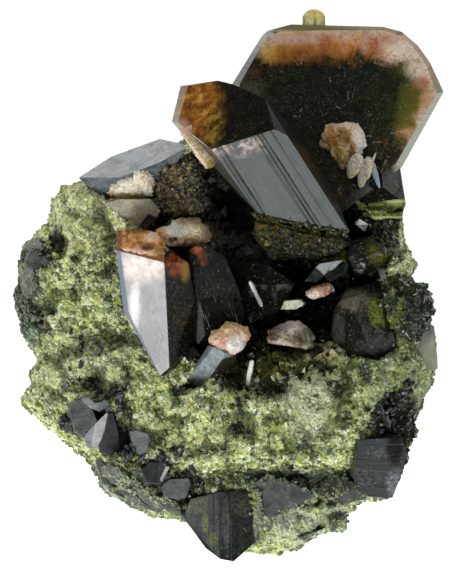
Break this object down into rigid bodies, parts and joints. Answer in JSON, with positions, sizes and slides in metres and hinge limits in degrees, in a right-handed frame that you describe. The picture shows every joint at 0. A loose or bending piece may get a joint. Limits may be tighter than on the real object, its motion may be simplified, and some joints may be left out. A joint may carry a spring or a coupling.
{
  "type": "clinozoisite crystal cluster",
  "caption": "Mineral specimen: dark clinozoisite prisms and a tabular crystal with orange ends, grown in a hollow of granular yellow-green rock with a flat back.",
  "frame": {"origin": "on the flat back of the rock, under the middle of the specimen", "axes": "+Z out of the flat back towards the crystals, +Y towards the tabular crystal, +X to the right as seen from the front"},
  "size_m": [0.0351, 0.0448, 0.019],
  "materials": {
    "rock": "granular, yellow-green, matt with glints",
    "plate": "glossy, dark green-black with a red-brown band",
    "dark_crystal": "glossy, brown-black, orange at its ends",
    "slate_crystal": "satin, slate grey",
    "brown_crystal": "glassy brown, speckled white",
    "white_crystal": "bright grey-white faces, orange end",
    "cream_crystal": "cream, pink and orange, waxy",
    "pale_crystal": "pale green, waxy",
    "needle": "white, satin"
  },
  "bodies": {
    "root": {"matrix": "rock", "tabular_crystal": "plate", "nub_crystal": "pale_crystal", "central_prism": "dark_crystal", "slim_crystal": "cream_crystal", "slate_crystal": "slate_crystal", "brown_crystal": "brown_crystal", "shadow_crystal": "slate_crystal", "white_prism": "white_crystal", "capped_crystal": "cream_crystal", "dark_prism": "dark_crystal", "tipped_prism": "cream_crystal", "needle_upper": "needle", "needle_lower": "needle", "tip_cluster": "cream_crystal", "block_crystal": "dark_crystal", "olive_crystal": "dark_crystal", "inner_crystal": "dark_crystal", "silver_crystal": "slate_crystal", "pink_crystal": "cream_crystal", "pale_crystal": "pale_crystal", "round_crystal": "brown_crystal", "smoky_crystal": "dark_crystal", "corner_crystal": "dark_crystal", "black_grains": "dark_crystal", "edge_slab": "slate_crystal", "wedge_crystal_1": "slate_crystal", "wedge_crystal_2": "slate_crystal", "wedge_crystal_3": "slate_crystal", "wedge_crystal_4": "slate_crystal", "wedge_crystal_5": "slate_crystal", "wedge_crystal_6": "slate_crystal", "slab_crystal": "slate_crystal", "end_prisms": "dark_crystal", "rib_crystal": "slate_crystal"}
  },
  "joints": []
}
